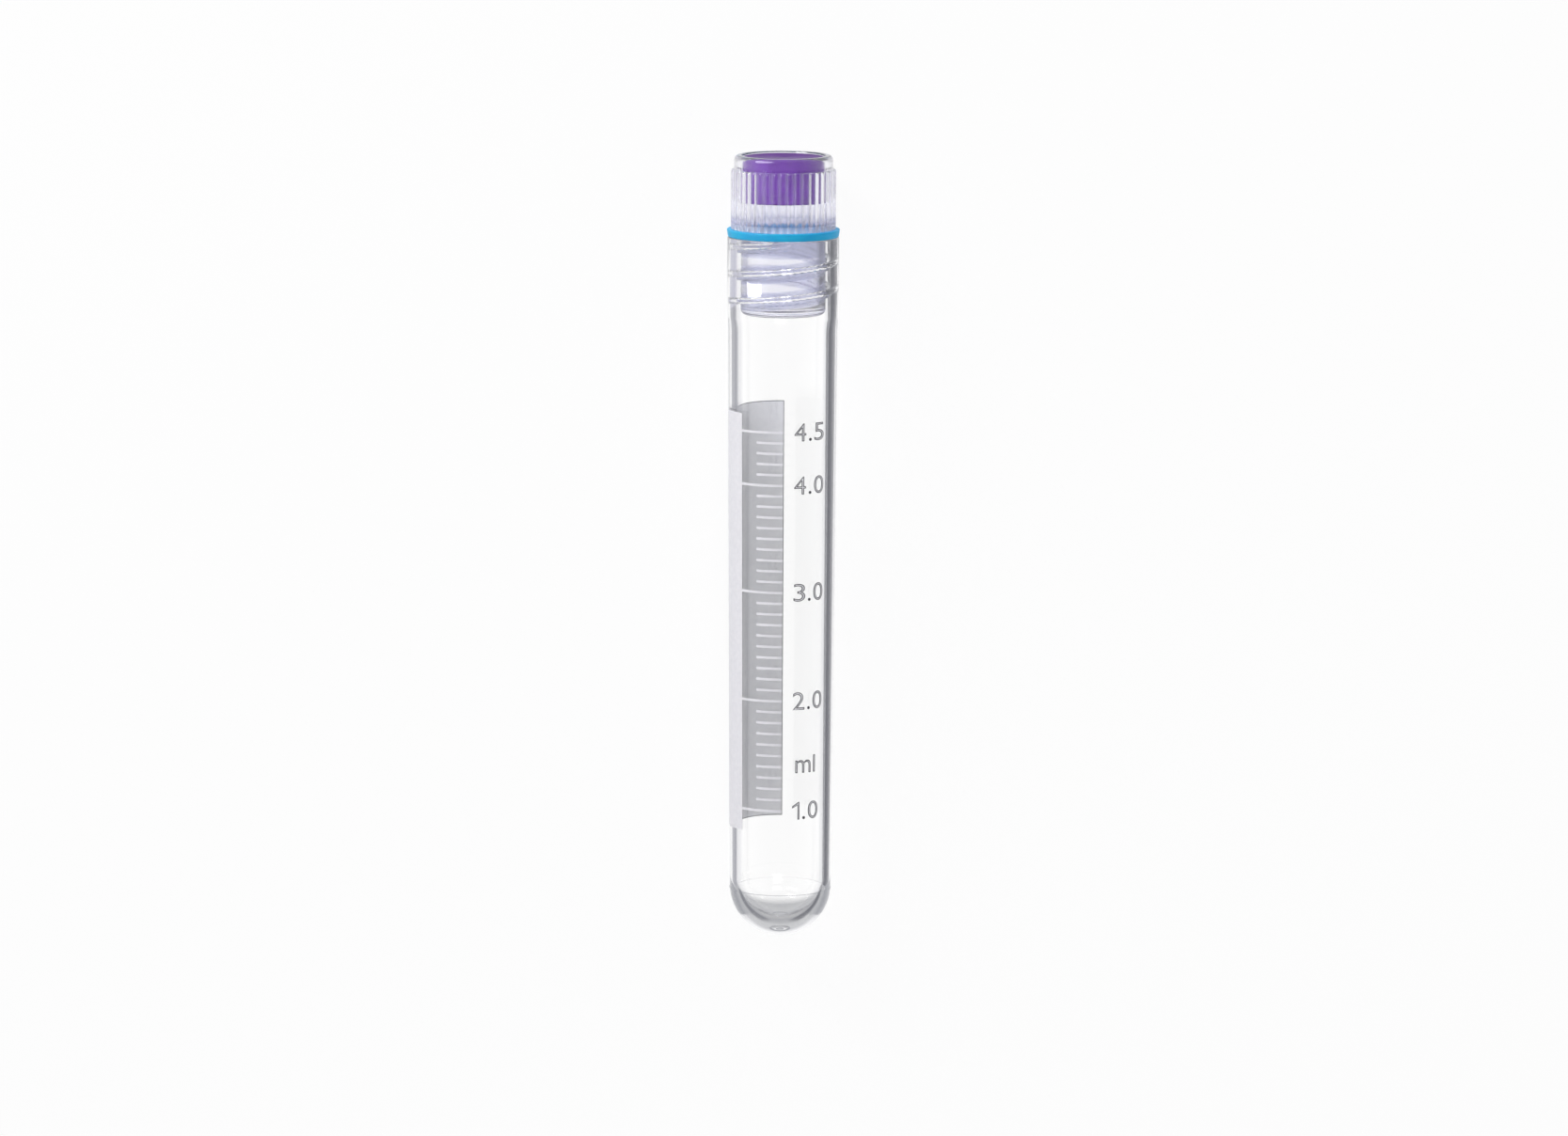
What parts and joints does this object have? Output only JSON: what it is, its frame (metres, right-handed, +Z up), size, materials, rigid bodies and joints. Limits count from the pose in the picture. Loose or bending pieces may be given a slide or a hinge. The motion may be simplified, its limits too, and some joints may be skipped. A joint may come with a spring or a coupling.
{
  "type": "cryovial",
  "caption": "Round-bottom graduated plastic cryogenic vial with an internal-thread ribbed screw cap, a silicone sealing ring and a purple colour insert in the cap.",
  "frame": {"origin": "middle of the footprint, on the surface that the vial lies on", "axes": "+Y along the vial from its round base to its cap, +Z up through the middle of the graduated side, +X to the right of someone who looks down on it"},
  "size_m": [0.0126, 0.0884, 0.0126],
  "materials": {
    "clear_polypropylene": "clear moulded polypropylene, polished",
    "natural_polypropylene": "natural, slightly milky moulded polypropylene",
    "blue_silicone": "smooth blue silicone",
    "purple_polypropylene": "opaque purple moulded polypropylene",
    "white_ink": "white screen-printed ink"
  },
  "bodies": {
    "vial": {"vial_tube": "clear_polypropylene", "writing_patch": "white_ink", "graduation_marks": "white_ink"},
    "ring": {"sealing_ring": "blue_silicone"},
    "cap": {"screw_cap": "natural_polypropylene", "colour_insert": "purple_polypropylene"}
  },
  "joints": [
    {"name": "ring_lift", "type": "slide", "parent": "vial", "child": "ring", "axis": [0, 1, 0], "range_m": [0, 0.009]},
    {"name": "cap_turn", "type": "hinge", "parent": "ring", "child": "cap", "pos_m": [0, 0.035, 0.00632], "axis": [0, 1, 0], "range_deg": [0, 1080]}
  ],
  "couplings": [
    {"joint": "cap_turn", "follows": "ring_lift", "rad_per_m": 2094.4}
  ]
}
